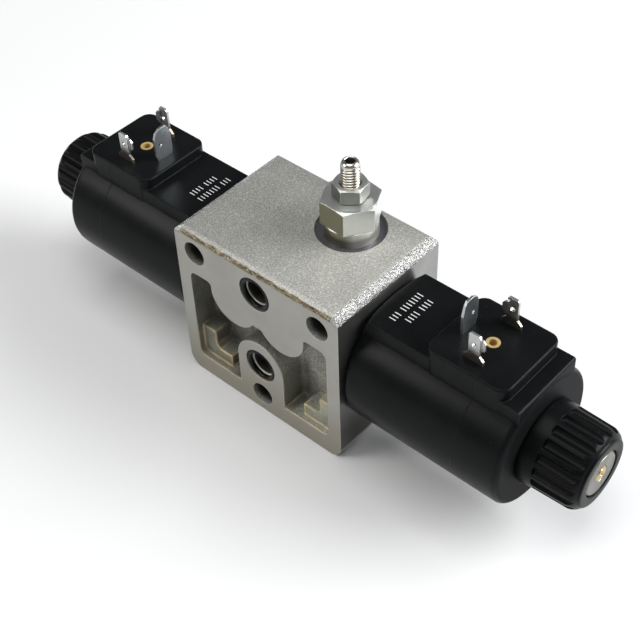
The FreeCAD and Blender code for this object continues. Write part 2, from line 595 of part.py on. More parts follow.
    # Seats of the insert and the three blades.
    top = d.pad_top - d.axis_height
    s = sketch(b, "insert_seat", "XY_Plane", top)
    circle(s, pc, 0, d.insert_radius + 0.02)
    cut(b, "Pocket", s, "insert_seat_cut", d.insert_length + 0.02)
    s = sketch(b, "blade_seats", "XY_Plane", top)
    ht = d.blade_thick / 2 + 0.02
    for sy in (1, -1):
        rect(s, d.blade_x - 2.3, sy * d.blade_y - ht, d.blade_x + 2.3, sy * d.blade_y + ht)
    rect(s, d.ground_x - ht, -d.ground_half - 0.02, d.ground_x + ht, d.ground_half + 0.02)
    cut(b, "Pocket", s, "blade_seats_cut", BLADE_EMBED)
    turned_x(N("coil_bobbin"), [
        (40.6, tr + 0.1), (40.6, 17.0), (42.2, 17.0), (42.2, 10.8), (83.2, 10.8), (83.2, 17.0), (84.8, 17.0), (84.8, tr + 0.1)], turn)
    turned_x(N("coil_winding"), [(42.3, 10.85), (42.3, 16.6), (83.1, 16.6), (83.1, 10.85)], turn)
    turned_x(N("coil_yoke"), [
        (40.6, 17.1), (40.6, d.cavity_radius - 0.05), (86.9, d.cavity_radius - 0.05), (86.9, tr + 0.2), (84.9, tr + 0.2), (84.9, 17.1)], turn)

    def place_on_axis(obj):
        obj.Placement = FreeCAD.Placement(V(0, 0, d.axis_height.v), FreeCAD.Rotation(V(0, 0, 1), turn))

    # Power blades: two flat tongues with shoulders that rest on the plinth.
    solids = []
    for tag, sy in (("far", 1), ("near", -1)):
        p = new_body("blade_%s_%s" % (tag, side), (0, 0, d.axis_height.v), turn)
        NODES.pop()
        s = sketch(p, "outline", "XZ_Plane", -sy * d.blade_y)
        lo, hi = top - BLADE_EMBED + 0.05, d.blade_top - d.axis_height
        bx = d.blade_x
        polygon(s, [(bx - 2.25, lo), (bx + 2.25, lo), (bx + 2.25, top + 0.02), (bx + 3.4, top + 0.02), (bx + 3.4, top + 1.3), (bx + 1.9, top + 2.7),
                    (bx + 1.9, hi - 0.5), (bx + 1.5, hi), (bx - 1.5, hi), (bx - 1.9, hi - 0.5), (bx - 1.9, top + 2.7), (bx - 3.4, top + 1.3),
                    (bx - 3.4, top + 0.02), (bx - 2.25, top + 0.02)])
        feature(p, "Pad", s, "tongue", d.blade_thick, mid=True)
        s = sketch(p, "eye", "XZ_Plane", -sy * d.blade_y + 1.0)
        circle(s, bx, hi - 3.9, 0.8)
        cut(p, "Pocket", s, "eye_cut", 2.0)
        # folded side leaf, half a turn apart on the two blades
        s = sketch(p, "leaf", "XZ_Plane", -sy * d.blade_y - 0.4 if sy < 0 else -sy * d.blade_y + 0.4)
        fx = bx + 3.2 if sy < 0 else bx - 3.2
        gx = bx + 1.2 if sy < 0 else bx - 1.2
        k = -0.8 if sy < 0 else 0.8
        polygon(s, [(gx, hi - 6.0), (fx + k * 1.2, hi - 6.0), (fx, hi - 5.2), (fx, hi - 2.6), (fx + k * 0.9, hi - 1.7), (gx, hi - 1.3)])
        grow(p, "Pad", s, "leaf_pad", 0.5, rev=(sy < 0))
        solids.append(p)
    group(N("power_terminals"), solids)
    p = new_body(N("ground_terminal"), (0, 0, d.axis_height.v), turn)
    s = sketch(p, "outline", "YZ_Plane", d.ground_x)
    lo, hi, gh = top - BLADE_EMBED + 0.05, d.ground_top - d.axis_height, d.ground_half
    polygon(s, [(-gh, lo), (gh, lo), (gh, top + 1.0), (gh + 0.6, top + 1.8), (gh + 0.6, hi - 3.2), (gh - 0.1, hi - 1.2), (gh - 1.9, hi),
                (-gh + 1.6, hi), (-gh + 0.6, hi - 1.4), (-gh - 0.2, hi - 5.0), (-gh - 0.2, top + 1.8), (-gh, top + 1.0)])
    feature(p, "Pad", s, "tongue", d.blade_thick, mid=True)
    s = sketch(p, "eye", "YZ_Plane", d.ground_x - 1.0)
    circle(s, 1.4, hi - 6.1, 0.75)
    cut(p, "Pocket", s, "eye_cut", 2.0, rev=True)
    # Threaded brass insert of the connector screw.
    p = new_body(N("connector_insert"), (0, 0, d.axis_height.v), turn)
    s = sketch(p, "ring", "XY_Plane", top)
    circle(s, pc, 0, d.insert_radius)
    circle(s, pc, 0, 1.25)
    feature(p, "Pad", s, "bush", d.insert_length, rev=True)

    # Ring seals between body, coil and nut.
    turned_x(N("coil_seal"), [(33.52, 14.9), (33.52, 16.6), (33.88, 16.6), (33.88, 14.9)], turn)
    turned_x(N("nut_seal"), [(90.25, 9.3), (90.25, 11.4), (91.4, 11.4), (91.4, 9.3)], turn)
    # Ring nut, knurled by long flutes.
    kb, kf, ne, ns = d.knob_base, d.knob_front, d.nut_end, d.nut_start
    b = turned_x(N("ring_nut"), [
        (ns, 11.7), (ns, kb - 0.5), (ns + 0.5, kb), (95.0, kf + 0.3), (106.4, kf), (107.8, kf - 0.35), (109.2, kf - 1.2), (ne - 0.25, kf - 2.1),
        (ne, kf - 2.6), (ne, 8.0), (ne - 0.4, 7.6), (104.3, 7.6), (104.3, tt + 0.05), (91.45, tt + 0.05), (91.45, 11.7)], turn)
    s = sketch(b, "flute", "YZ_Plane", 95.7)
    circle(s, 0, kf + 0.65, d.flute_radius)
    f = cut(b, "Pocket", s, "flute_cut", 16.0, rev=True)
    before = volume(b)
    pat = b.newObject("PartDesign::PolarPattern", "flutes_" + b.Label)
    pat.Originals = [f]
    pat.Axis = (s, ["N_Axis"])
    pat.Angle = 360.0
    pat.Occurrences = 18
    pat.setExpression("Occurrences", "dims.flute_count")
    b.Tip = pat
    if not volume(b) < before - 1:
        raise RuntimeError("flutes missing")

# ---------------------------------------------------------------- relief cartridge
cn, ch = d.cart_nose - 0.1, d.cart_chamber
lo, hi = d.cart_hex_low, d.cart_hex_top
face = d.body_height - d.spot_deep
b = turned_z("cartridge_body", [
    (2.5, 43.0), (5.9, 43.0), (cn, 43.5), (cn, 44.6), (5.0, 44.6), (5.0, 46.8), (cn, 46.8), (cn, 53.05), (d.cart_thread - 0.1, 53.6),
    (d.cart_thread - 0.1, 58.6), (6.6, 58.6), (6.6, face + 0.02), (8.7, face + 0.02), (8.7, lo - 0.2), (8.4, lo), (8.4, hi), (3.4, hi), (3.05, hi - 0.35), (3.05, 71.2),
    (ch, 70.2), (ch, 49.0), (2.5, 49.0)])
s = sketch(b, "hexagon", "XY_Plane", lo)
hexagon(s, 0, 0, d.cart_hex, -3)
circle(s, 0, 0, 6.0)
grow(b, "Pad", s, "hexagon_pad", hi - lo)
s = sketch(b, "bevels", "XZ_Plane")
polygon(s, [(8.45, hi), (10.5, hi - 0.75), (10.5, hi + 1), (8.45, hi + 1)])
cut(b, "Groove", s, "top_bevel", axis="V_Axis")
s = sketch(b, "inlet", "XZ_Plane", -8.0)
circle(s, 0, 51.0, 1.2)
cut(b, "Pocket", s, "inlet_cut", 16.0, rev=True)
cxy = (d.cart_x, d.cart_y)
group("cartridge_o_rings", [
    ring("nose_o_ring", 5.78, 0.7, cxy + (45.7,), (0, 0, 1)),
    ring("collar_o_ring", 7.3, 0.68, cxy + (59.8,), (0, 0, 1))])
turned_z("relief_poppet", [(0, 47.25), (0.6, 47.25), (3.55, 50.2), (2.2, 50.2), (2.2, 52.4), (3.95, 52.4), (3.95, 55.5), (2.1, 55.5), (2.1, 57.0), (0, 57.0)])
helix("relief_spring", 55.5, d.seat_base.v, 2.95, 0.5, 6.0, (d.cart_x.v, d.cart_y.v, 0), (0, 0, 1))
sb0 = d.seat_base
turned_z("relief_spring_seat", [(0, sb0 - 1.3), (2.1, sb0 - 1.3), (2.1, sb0), (3.9, sb0), (3.9, sb0 + 2.0), (0, sb0 + 2.0)])
# Adjusting screw: thread crests and roots, domed end with a hexagon socket.
rs = d.screw_radius
zt = d.screw_top
pts = [(0, sb0 + 2.05), (rs - 0.9, sb0 + 2.05), (rs - 0.3, sb0 + 2.6)]
z = sb0.v + 2.6
pts.append((rs - 0.3, 69.0))
pts.append((rs, 69.5))
zz = 77.0
pts.append((rs, zz))
while zz < zt.v - 2.6:
    pts += [(rs - 0.55, zz + 0.42), (rs - 0.55, zz + 0.5), (rs, zz + 0.92), (rs, zz + 1.0)]
    zz += 1.0
pts += [(rs - 0.12, zt - 1.1), (rs - 0.45, zt - 0.55), (rs - 1.0, zt - 0.12), (rs - 1.5, zt), (0, zt)]
b = turned_z("adjusting_screw", pts)
s = sketch(b, "socket", "XY_Plane", zt)
hexagon(s, 0, 0, 3.0, 0)
cut(b, "Pocket", s, "socket_cut", 3.0)
# Lock nut.
b = new_body("lock_nut", (d.cart_x.v, d.cart_y.v, 0), -21.0)
b.setExpression("Placement.Base.x", d.cart_x.s)
b.setExpression("Placement.Base.y", d.cart_y.s)
s = sketch(b, "outline", "XY_Plane", hi + 0.03)
hexagon(s, 0, 0, d.nut_hex, 0)
circle(s, 0, 0, rs + 0.05)
feature(b, "Pad", s, "nut", d.nut_top - hi - 0.03)
s = sketch(b, "bevel", "XZ_Plane")
polygon(s, [(4.95, d.nut_top), (6.2, d.nut_top - 0.72), (6.2, d.nut_top + 1), (4.95, d.nut_top + 1)])
cut(b, "Groove", s, "nut_bevel", axis="V_Axis")
s = sketch(b, "bevel_low", "XZ_Plane")
polygon(s, [(4.7, hi + 0.03), (6.2, hi + 1.0), (6.2, hi - 1), (4.7, hi - 1)])
cut(b, "Groove", s, "nut_bevel_low", axis="V_Axis")
s = sketch(b, "countersink", "XZ_Plane")
polygon(s, [(2.0, d.nut_top + 0.5), (2.0, d.nut_top - 0.6), (3.0, d.nut_top - 0.6), (3.6, d.nut_top), (3.6, d.nut_top + 0.5)])
cut(b, "Groove", s, "nut_countersink", axis="V_Axis")

# ---------------------------------------------------------------- check and write
doc.recompute()
bad = [o.Name for o in doc.Objects if "Invalid" in o.State or "Error" in o.State]
if bad:
    raise RuntimeError("failed objects: " + ", ".join(bad))
for o in NODES:
    if o.Shape.isNull() or not o.Shape.isValid() or o.Shape.Volume <= 0:
        raise RuntimeError("bad shape: " + o.Label)
for o in NODES:
    o.Shape.exportStep("parts/%s.step" % o.Label)
    bb = o.Shape.BoundBox
    print("%-26s %9.2f  X %7.2f %7.2f  Y %7.2f %7.2f  Z %7.2f %7.2f  solids %d" % (
        o.Label, o.Shape.Volume, bb.XMin, bb.XMax, bb.YMin, bb.YMax, bb.ZMin, bb.ZMax, len(o.Shape.Solids)))
print(len(NODES), "nodes")
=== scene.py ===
import json
import math
import bpy
import bmesh
import numpy as np
from mathutils import Matrix, Vector


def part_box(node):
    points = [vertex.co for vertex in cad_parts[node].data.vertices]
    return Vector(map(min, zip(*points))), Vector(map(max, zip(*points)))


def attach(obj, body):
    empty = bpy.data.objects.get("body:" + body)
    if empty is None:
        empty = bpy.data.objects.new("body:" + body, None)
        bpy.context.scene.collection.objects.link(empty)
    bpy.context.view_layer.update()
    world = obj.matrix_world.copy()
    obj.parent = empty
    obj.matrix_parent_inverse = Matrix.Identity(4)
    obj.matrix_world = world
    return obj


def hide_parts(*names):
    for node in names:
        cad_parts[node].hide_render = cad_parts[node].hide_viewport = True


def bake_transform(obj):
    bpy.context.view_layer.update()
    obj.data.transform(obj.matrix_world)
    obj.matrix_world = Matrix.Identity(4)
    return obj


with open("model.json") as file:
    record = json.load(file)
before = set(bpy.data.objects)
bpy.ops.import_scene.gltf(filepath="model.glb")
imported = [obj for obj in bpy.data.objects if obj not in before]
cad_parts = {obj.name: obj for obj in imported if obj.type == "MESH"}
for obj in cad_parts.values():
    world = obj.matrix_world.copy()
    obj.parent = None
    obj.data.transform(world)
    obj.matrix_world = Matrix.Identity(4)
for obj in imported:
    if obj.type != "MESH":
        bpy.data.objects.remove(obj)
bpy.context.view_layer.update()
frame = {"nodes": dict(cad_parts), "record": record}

NODES = frame["nodes"]


MM = 0.001
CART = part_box("lock_nut")
CX = (CART[0][0] + CART[1][0]) / 2.0
CY = (CART[0][1] + CART[1][1]) / 2.0
SCREW_TOP = float(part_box("adjusting_screw")[1][2])
rng = np.random.default_rng(7)

# ------------------------------------------------------------------ node helpers


class Mat:
    """A node material built step by step."""

    def __init__(self, name):
        self.m = bpy.data.materials.new(name)
        self.m.use_nodes = True
        self.nt = self.m.node_tree
        self.nt.nodes.clear()
        self.out = self.nt.nodes.new("ShaderNodeOutputMaterial")
        self.b = self.nt.nodes.new("ShaderNodeBsdfPrincipled")
        self.nt.links.new(self.b.outputs[0], self.out.inputs[0])
        self.tc = self.nt.nodes.new("ShaderNodeTexCoord")
        self.obj = self.tc.outputs["Object"]
        self._xyz = None

    def node(self, kind, **props):
        n = self.nt.nodes.new("ShaderNode" + kind)
        for k, v in props.items():
            setattr(n, k, v)
        return n

    def put(self, sock, value):
        if hasattr(value, "is_linked") or isinstance(value, bpy.types.NodeSocket):
            self.nt.links.new(value, sock)
        else:
            sock.default_value = value

    def set(self, name, value):
        self.put(self.b.inputs[name], value)

    def xyz(self):
        if self._xyz is None:
            n = self.node("SeparateXYZ")
            self.put(n.inputs[0], self.obj)
            self._xyz = (n.outputs[0], n.outputs[1], n.outputs[2])
        return self._xyz

    def math(self, op, a, b=None, c=None, clamp=False):
        n = self.node("Math", operation=op, use_clamp=clamp)
        self.put(n.inputs[0], a)
        if b is not None:
            self.put(n.inputs[1], b)
        if c is not None:
            self.put(n.inputs[2], c)
        return n.outputs[0]

    def step(self, v, a, b):
        """0 at a, 1 at b, smooth between."""
        n = self.node("MapRange", interpolation_type="SMOOTHSTEP")
        self.put(n.inputs[0], v)
        n.inputs[1].default_value = a
        n.inputs[2].default_value = b
        n.inputs[3].default_value = 0.0
        n.inputs[4].default_value = 1.0
        return n.outputs[0]

    def band(self, v, a, b, soft):
        return self.math("MULTIPLY", self.step(v, a - soft, a + soft), self.step(v, b + soft, b - soft))

    def mul(self, *vs):
        out = vs[0]
        for v in vs[1:]:
            out = self.math("MULTIPLY", out, v)
        return out

    def inv(self, v):
        return self.math("SUBTRACT", 1.0, v)

    def noise(self, scale, detail=4.0, rough=0.55, vec=None, stretch=None, dist=0.0, out="Fac"):
        v = vec or self.obj
        if stretch:
            n = self.node("Mapping")
            self.put(n.inputs[0], v)
            n.inputs["Scale"].default_value = stretch
            v = n.outputs[0]
        n = self.node("TexNoise")
        self.put(n.inputs["Vector"], v)
        n.inputs["Scale"].default_value = scale
        n.inputs["Detail"].default_value = detail
        n.inputs["Roughness"].default_value = rough
        n.inputs["Distortion"].default_value = dist
        return n.outputs[out]

    def voronoi(self, scale, feature="F1", out="Distance", rand=1.0):
        n = self.node("TexVoronoi", feature=feature)
        self.put(n.inputs["Vector"], self.obj)
        n.inputs["Scale"].default_value = scale
        n.inputs["Randomness"].default_value = rand
        return n.outputs[out]

    def ramp(self, v, stops):
        n = self.node("ValToRGB")
        self.put(n.inputs[0], v)
        cr = n.color_ramp
        while len(cr.elements) < len(stops):
            cr.elements.new(0.5)
        for e, (p, c) in zip(cr.elements, stops):
            e.position = p
            e.color = tuple(c) + (1.0,) if len(c) == 3 else tuple(c)
        return n.outputs[0]

    def mixc(self, fac, a, b, blend="MIX"):
        n = self.node("Mix", data_type="RGBA", blend_type=blend)
        self.put(n.inputs[0], fac)
        self.put(n.inputs[6], a if not isinstance(a, tuple) else a + (1.0,))
        self.put(n.inputs[7], b if not isinstance(b, tuple) else b + (1.0,))
        return n.outputs[2]

    def mixf(self, fac, a, b):
        n = self.node("Mix", data_type="FLOAT")
        self.put(n.inputs[0], fac)
        self.put(n.inputs[2], a)
        self.put(n.inputs[3], b)
        return n.outputs[0]

    def bump(self, height, strength, distance, normal=None):
        n = self.node("Bump")
        self.put(n.inputs["Height"], height)
        self.put(n.inputs["Strength"], strength)
        n.inputs["Distance"].default_value = distance
        if normal is not None:
            self.put(n.inputs["Normal"], normal)
        return n.outputs[0]

    def bevel(self, radius, samples=4):
        n = self.node("Bevel", samples=samples)
        n.inputs["Radius"].default_value = radius
        return n.outputs[0]

    def edge(self, radius, flat, sharp):
        """1 along corners: how far the rounded normal leans from the true one."""
        g = self.node("NewGeometry")
        d = self.node("VectorMath", operation="DOT_PRODUCT")
        self.put(d.inputs[0], self.bevel(radius, 6))
        self.put(d.inputs[1], g.outputs["Normal"])
        return self.step(d.outputs["Value"], flat, sharp)

    def radial(self, cu, cv, axes):
        """Distance from an axis line through (cu, cv) in the plane of two object axes."""
        x = self.xyz()
        u = self.math("SUBTRACT", x[axes[0]], cu)
        v = self.math("SUBTRACT", x[axes[1]], cv)
        return self.math("SQRT", self.math("ADD", self.math("MULTIPLY", u, u), self.math("MULTIPLY", v, v)))


# ------------------------------------------------------------------ materials

def casting():
    m = Mat("plated_casting")
    x, y, z = m.xyz()
    g_fine = m.noise(3400.0, 3.0, 0.6)
    g_mid = m.noise(2100.0, 4.0, 0.65)
    g_big = m.noise(90.0, 5.0, 0.55)
    cells = m.voronoi(2100.0)
    # masks
    front = m.mul(m.step(y, -0.02335, -0.02347), m.step(z, 0.0604, 0.0596))
    back = m.mul(m.step(y, 0.02335, 0.02347), m.step(z, 0.0604, 0.0596))
    flat = m.math("MAXIMUM", front, back)
    absx = m.math("ABSOLUTE", x)
    side = m.mul(m.step(absx, 0.03338, 0.03346), m.step(z, 0.0603, 0.0597))
    inside = m.mul(m.step(y, -0.02347, -0.0233), m.step(y, -0.0132, -0.0138), m.band(z, 0.0068, 0.0456, 0.0002), m.band(x, -0.0290, 0.0290, 0.0002))
    wave = m.math("MULTIPLY", m.math("SUBTRACT", m.noise(260.0, 3.0, 0.6), 0.5), 0.0012)
    zb = m.math("ADD", z, wave)
    brow = m.mul(m.step(y, -0.0213, -0.0219), m.step(z, 0.0596, 0.0600), m.step(zb, 0.0616, 0.0612))
    flank = m.mul(m.step(m.math("ADD", absx, wave), 0.0303, 0.0311), m.step(z, 0.0585, 0.0597))
    spot = m.mul(m.step(m.radial(CX, CY, (0, 1)), 0.01145, 0.01130), m.step(z, 0.0618, 0.0613))
    foot = m.step(z, 0.030, 0.0)
    edge = m.edge(0.00035, 0.985, 0.90)
    # colours
    skin = m.ramp(m.mixf(0.45, g_mid, cells), [(0.27, (0.21, 0.206, 0.184)), (0.42, (0.342, 0.339, 0.314)), (0.58, (0.437, 0.434, 0.410)), (0.82, (0.64, 0.64, 0.615))])
    patch = m.ramp(g_big, [(0.35, (0.94, 0.94, 0.93)), (0.65, (1.04, 1.04, 1.035))])
    skin = m.mixc(1.0, skin, patch, "MULTIPLY")
    # painted light: the skin is made lighter towards the right front and darker towards the left back
    painted_light_lean = m.step(m.math("SUBTRACT", x, m.math("MULTIPLY", y, 0.6)), -0.020, 0.040)
    skin = m.mixc(1.0, skin, m.ramp(painted_light_lean, [(0.0, (0.94, 0.94, 0.93)), (1.0, (1.24, 1.24, 1.225))]), "MULTIPLY")
    mach = m.ramp(m.noise(60.0, 6.0, 0.6), [(0.3, (0.335, 0.325, 0.294)), (0.7, (0.390, 0.381, 0.352))])
    mach = m.mixc(m.math("MULTIPLY", foot, 0.75), mach, (0.275, 0.252, 0.195))
    speck = m.step(m.noise(3000.0, 2.0, 0.5), 0.66, 0.72)
    mach = m.mixc(m.math("MULTIPLY", speck, 0.30), mach, (0.20, 0.19, 0.155))
    gold = m.ramp(m.noise(1500.0, 3.0, 0.7, stretch=(0.40, 1.0, 1.0)), [(0.35, (0.026, 0.022, 0.013)), (0.48, (0.135, 0.106, 0.050)), (0.58, (0.33, 0.265, 0.145)), (0.73, (0.60, 0.53, 0.36))])
    cave = m.ramp(m.mixf(0.28, g_mid, m.noise(150.0, 3.0, 0.5)), [(0.32, (0.125, 0.122, 0.100)), (0.50, (0.250, 0.251, 0.228)), (0.68, (0.45, 0.452, 0.42))])
    # painted shade: dark patches low down either side of the middle of the recess
    pit = m.mul(m.band(m.math("ABSOLUTE", x), 0.0085, 0.0128, 0.0012), m.step(z, 0.0260, 0.0200))
    cave = m.mixc(m.math("MULTIPLY", pit, 0.55), cave, (0.085, 0.083, 0.068))
    # painted light: the right-hand recess is made lighter than the left-hand one
    cave = m.mixc(1.0, cave, m.ramp(m.step(x, -0.004, 0.012), [(0.0, (0.86, 0.86, 0.84)), (1.0, (1.55, 1.56, 1.52))]), "MULTIPLY")
    tint = m.step(m.noise(160.0, 3.0, 0.5), 0.54, 0.66)
    # painted highlight: a lighter gold tint on the bottom ledge of the recess
    ledge_painted_highlight = m.mul(m.step(z, 0.0215, 0.0185), m.step(y, -0.0150, -0.0205))
    cave = m.mixc(m.math("MULTIPLY", tint, 0.22), cave, (0.27, 0.225, 0.125))
    cave = m.mixc(m.math("MULTIPLY", ledge_painted_highlight, 0.22), cave, (0.38, 0.335, 0.22))
    col = m.mixc(inside, skin, cave)
    goldmask = m.mul(brow, m.step(m.noise(520.0, 3.0, 0.65), 0.30, 0.44))
    col = m.mixc(m.math("MULTIPLY", goldmask, 0.92), col, gold)
    bright = m.ramp(m.mixf(0.5, cells, m.noise(1300.0, 2.0, 0.6)), [(0.18, (0.95, 0.95, 0.93)), (0.42, (0.62, 0.62, 0.60)), (0.62, (0.30, 0.30, 0.285))])
    col = m.mixc(m.math("MULTIPLY", flank, 0.9), col, bright)
    side_wall_with_painted_shade = m.ramp(m.noise(70.0, 4.0, 0.6), [(0.3, (0.30, 0.30, 0.29)), (0.7, (0.38, 0.38, 0.37))])
    # painted shade: the side face darkens towards the bottom, under the coil
    side_wall_with_painted_shade = m.mixc(m.math("MULTIPLY", m.step(m.math("ADD", z, m.math("MULTIPLY", g_big, 0.004)), 0.0290, 0.0120), 0.85), side_wall_with_painted_shade, (0.105, 0.103, 0.090))
    col = m.mixc(side, col, side_wall_with_painted_shade)
    col = m.mixc(flat, col, mach)
    col = m.mixc(spot, col, (0.115, 0.108, 0.122))
    # corners: gold painted highlights and a softer painted glow along the recess edges; elsewhere lighter edges,
    # partly bare worn metal and partly painted highlight
    wide = m.edge(0.0011, 0.992, 0.90)
    fore = m.mixf(m.step(y, -0.0140, -0.0195), 0.35, 1.0)
    gold_edge_highlight = m.mul(wide, inside, m.step(m.noise(105.0, 3.0, 0.5), 0.36, 0.60), m.mixf(m.step(z, 0.0250, 0.0205), 0.40, 1.0), fore)
    painted_edge_glow = m.mul(m.edge(0.0022, 0.995, 0.92), inside, m.mul(fore, m.step(z, 0.0225, 0.0190)), m.step(m.noise(130.0, 3.0, 0.5), 0.34, 0.58))
    col = m.mixc(m.math("MULTIPLY", painted_edge_glow, 0.42), col, (0.60, 0.48, 0.24))
    col = m.mixc(m.math("MULTIPLY", gold_edge_highlight, 0.78), col, (0.90, 0.73, 0.41))
    worn_and_highlit_rim = m.mul(edge, m.inv(inside), m.inv(brow))
    col = m.mixc(m.math("MULTIPLY", worn_and_highlit_rim, 0.55), col, (0.74, 0.73, 0.69))
    # drilled holes and bores: painted shade deep inside them
    holes = None
    for cx, cz, r in ((0.0254, 0.054, 0.00435), (-0.0254, 0.054, 0.00435), (0, 0.0072, 0.00435), (0, 0.0521, 0.0063), (0, 0.0206, 0.0063)):
        h = m.step(m.radial(cx, cz, (0, 2)), r + 0.00006, r - 0.00002)
        holes = h if holes is None else m.math("MAXIMUM", holes, h)
    bore_painted_shade = m.mul(holes, m.step(y, -0.0231, -0.0205))
    col = m.mixc(m.math("MULTIPLY", bore_painted_shade, 0.92), col, (0.040, 0.038, 0.028))
    # painted highlight: a bright ring on the bore edge at each port seat
    seat_painted_highlight = m.mul(m.band(m.radial(0, 0.0521, (0, 2)), 0.0043, 0.0049, 0.00008), m.band(y, -0.0220, -0.02145, 0.00005))
    seat2_painted_highlight = m.mul(m.band(m.radial(0, 0.0206, (0, 2)), 0.0043, 0.0049, 0.00008), m.band(y, -0.0220, -0.02145, 0.00005))
    col = m.mixc(m.math("MAXIMUM", seat_painted_highlight, seat2_painted_highlight), col, (0.90, 0.88, 0.80))
    m.set("Base Color", col)
    metal_amt = m.mixf(flat, 0.72, 0.62)
    metal_amt = m.mixf(side, metal_amt, 0.95)
    metal_amt = m.mixf(gold_edge_highlight, metal_amt, 0.25)
    m.set("Metallic", metal_amt)
    rough = m.mixf(0.5, m.mixf(g_mid, 0.34, 0.60), m.mixf(g_big, 0.40, 0.52))
    rough = m.mixf(flat, rough, m.mixf(m.noise(300.0, 5.0, 0.6), 0.40, 0.52))
    rough = m.mixf(inside, rough, 0.58)
    rough = m.mixf(m.math("MULTIPLY", flank, 0.9), rough, 0.20)
    rough = m.mixf(side, rough, m.mixf(m.noise(200.0, 4.0, 0.6), 0.25, 0.34))
    m.set("Roughness", rough)
    grain = m.math("ADD", m.math("MULTIPLY", g_mid, 1.0), m.math("MULTIPLY", g_fine, 0.5))
    amount = m.mixf(flat, 0.55, 0.05)
    amount = m.mixf(flank, amount, 1.0)
    amount = m.mixf(brow, amount, 0.9)
    amount = m.mixf(inside, amount, 0.7)
    amount = m.mixf(side, amount, 0.012)
    amount = m.mixf(spot, amount, 0.05)
    n0v = m.node("Mix", data_type="VECTOR")
    m.put(n0v.inputs[0], inside)
    m.put(n0v.inputs[4], m.bevel(0.00030))
    m.put(n0v.inputs[5], m.bevel(0.0010, 6))
    n0 = n0v.outputs[1]
    n1 = m.bump(grain, amount, 0.00038, n0)
    lumps = m.noise(900.0, 2.0, 0.6)
    n1 = m.bump(lumps, m.math("MULTIPLY", flank, 0.9), 0.0011, n1)
    turned = m.math("SINE", m.math("MULTIPLY", m.radial(CX, CY, (0, 1)), 18000.0))
    n2 = m.bump(turned, m.math("MULTIPLY", spot, 0.25), 0.00003, n1)
    m.set("Normal", n2)
    return m.m


def plastic(name, base, gloss, round_edge=0.0004, spec=0.085, seam=None):
    m = Mat(name)
    x, y, z = m.xyz()
    v = m.noise(90.0, 5.0, 0.6)
    c0 = tuple(base)
    col = m.ramp(v, [(0.3, tuple(k * 0.78 for k in c0)), (0.7, tuple(k * 1.25 for k in c0))])
    # lighter edges, partly wear and partly painted highlight
    edge = m.edge(round_edge, 0.985, 0.86)
    col = m.mixc(m.mul(edge, m.step(m.noise(240.0, 3.0, 0.6), 0.40, 0.62), 0.35), col, (0.060, 0.063, 0.067))
    dust = m.step(m.noise(1700.0, 2.0, 0.4), 0.735, 0.77)
    col = m.mixc(m.math("MULTIPLY", dust, 0.12), col, (0.20, 0.20, 0.195))
    m.set("Base Color", col)
    r = m.mixf(m.noise(45.0, 6.0, 0.65), gloss - 0.06, gloss + 0.10)
    r = m.mixf(m.math("MULTIPLY", dust, 0.5), r, 0.7)
    if seam:
        r = m.mixf(m.math("MULTIPLY", m.step(m.math("ABSOLUTE", x), 0.0896, 0.0900), 0.75), r, 0.62)
    m.set("Roughness", r)
    m.set("Specular IOR Level", spec)
    fine = m.noise(1500.0, 3.0, 0.6)
    wav = m.noise(70.0, 2.0, 0.5)
    h = m.math("ADD", m.math("MULTIPLY", fine, 0.30), wav)
    n = m.bump(h, 0.10, 0.00022, m.bevel(round_edge))
    if seam:
        line = m.mul(m.band(m.math("ABSOLUTE", x), seam - 0.00009, seam + 0.00009, 0.00008), m.step(z, 0.0590, 0.0580))
        n = m.bump(line, 0.55, 0.00012, n)
    m.set("Normal", n)
    return m.m


def metal(name, c_lo, c_hi, rough=0.3, grain=600.0, stretch=None, bump=0.12, tint=None, tint_amt=0.0, metallic=1.0, round_edge=0.0):
    m = Mat(name)
    f = m.noise(grain, 5.0, 0.6, stretch=stretch)
    b = m.noise(130.0, 4.0, 0.55)
    col = m.ramp(m.mixf(0.45, f, b), [(0.3, c_lo), (0.7, c_hi)])
    if tint:
        t = m.step(m.noise(200.0, 3.0, 0.6), 0.5, 0.64)
        col = m.mixc(m.math("MULTIPLY", t, tint_amt), col, tint)
    m.set("Base Color", col)
    m.set("Metallic", metallic)
    m.set("Roughness", m.mixf(m.mixf(0.5, f, b), rough - 0.09, rough + 0.14))
    m.set("Normal", m.bump(f, bump, 0.00012, m.bevel(round_edge) if round_edge else None))
    return m.m


